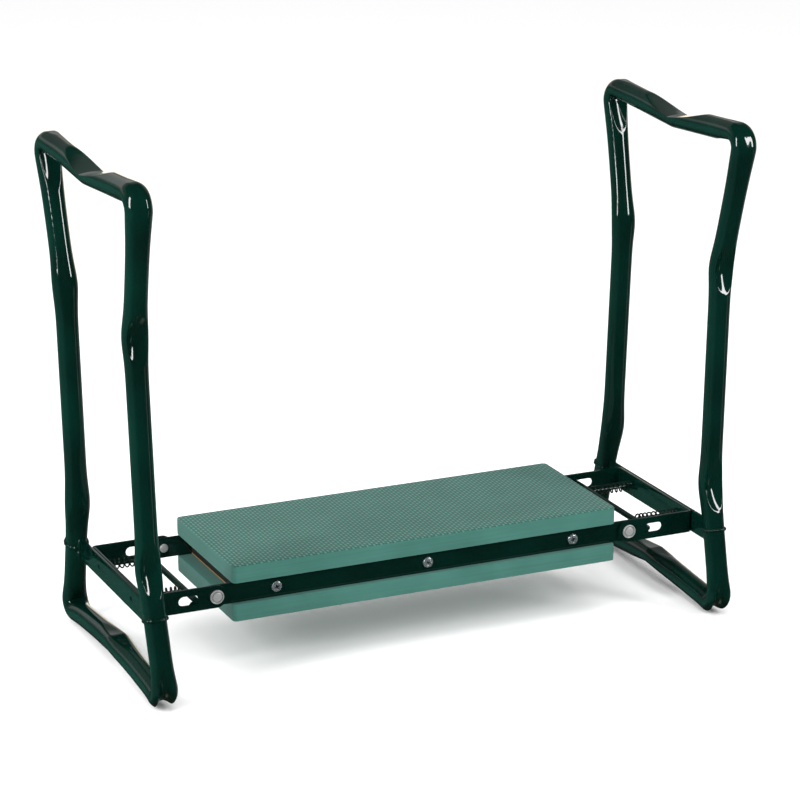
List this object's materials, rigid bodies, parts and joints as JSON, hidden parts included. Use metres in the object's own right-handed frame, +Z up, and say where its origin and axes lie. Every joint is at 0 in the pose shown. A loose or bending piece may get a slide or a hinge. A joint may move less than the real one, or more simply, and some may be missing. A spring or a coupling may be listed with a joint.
{
  "type": "garden kneeler seat",
  "caption": "Folding garden kneeler that turns over into a seat: foam pads on a low steel frame between two crush-bent tube loops that lock upright and fold flat",
  "frame": {"origin": "centre of the footprint, on the floor, in the kneeling position with both loops locked upright", "axes": "+X runs along the seat from one loop to the other, +Y across the seat, +Z up"},
  "size_m": [0.6202, 0.2762, 0.488],
  "materials": {
    "green_paint": "gloss dark green enamel on bent steel tube and flat bar",
    "foam": "matt sea-green closed-cell foam, embossed top",
    "bright_steel": "bright zinc-plated steel",
    "aluminium": "plain aluminium rivet",
    "spring_steel": "oiled spring wire",
    "wood": "raw plywood, hidden between the pads"
  },
  "bodies": {
    "seat": {"front_rail": "green_paint", "back_rail": "green_paint", "left_end_plate": "green_paint", "right_end_plate": "green_paint", "seat_board": "wood", "top_pad": "foam", "bottom_pad": "foam", "left_rivet_front": "aluminium", "left_rivet_back": "aluminium", "right_rivet_front": "aluminium", "right_rivet_back": "aluminium", "front_screw_1": "bright_steel", "front_screw_2": "bright_steel", "front_screw_3": "bright_steel", "back_screw_1": "bright_steel", "back_screw_2": "bright_steel", "back_screw_3": "bright_steel"},
    "left_frame": {"left_handle_tube": "green_paint", "left_foot_tube": "green_paint", "left_cross_bar": "green_paint", "left_bracket": "green_paint", "left_spring_front": "spring_steel", "left_spring_back": "spring_steel"},
    "left_lock": {"left_lock_rod": "green_paint", "left_guide_pin_front": "green_paint", "left_guide_pin_back": "green_paint"},
    "right_frame": {"right_handle_tube": "green_paint", "right_foot_tube": "green_paint", "right_cross_bar": "green_paint", "right_bracket": "green_paint", "right_spring_front": "spring_steel", "right_spring_back": "spring_steel"},
    "right_lock": {"right_lock_rod": "green_paint", "right_guide_pin_front": "green_paint", "right_guide_pin_back": "green_paint"}
  },
  "joints": [
    {"name": "left_fold", "type": "hinge", "parent": "seat", "child": "left_frame", "pos_m": [-0.2155, 0, 0.081], "axis": [0, 1, 0], "range_deg": [0, 95]},
    {"name": "right_fold", "type": "hinge", "parent": "seat", "child": "right_frame", "pos_m": [0.2155, 0, 0.081], "axis": [0, -1, 0], "range_deg": [0, 88]},
    {"name": "left_lock_slide", "type": "slide", "parent": "left_frame", "child": "left_lock", "axis": [-1, 0, 0], "range_m": [0, 0.012], "stiffness_N_per_m": 400, "springref_m": -0.008, "deforming": ["left_spring_front", "left_spring_back"]},
    {"name": "right_lock_slide", "type": "slide", "parent": "right_frame", "child": "right_lock", "axis": [1, 0, 0], "range_m": [0, 0.012], "stiffness_N_per_m": 400, "springref_m": -0.008, "deforming": ["right_spring_front", "right_spring_back"]}
  ]
}
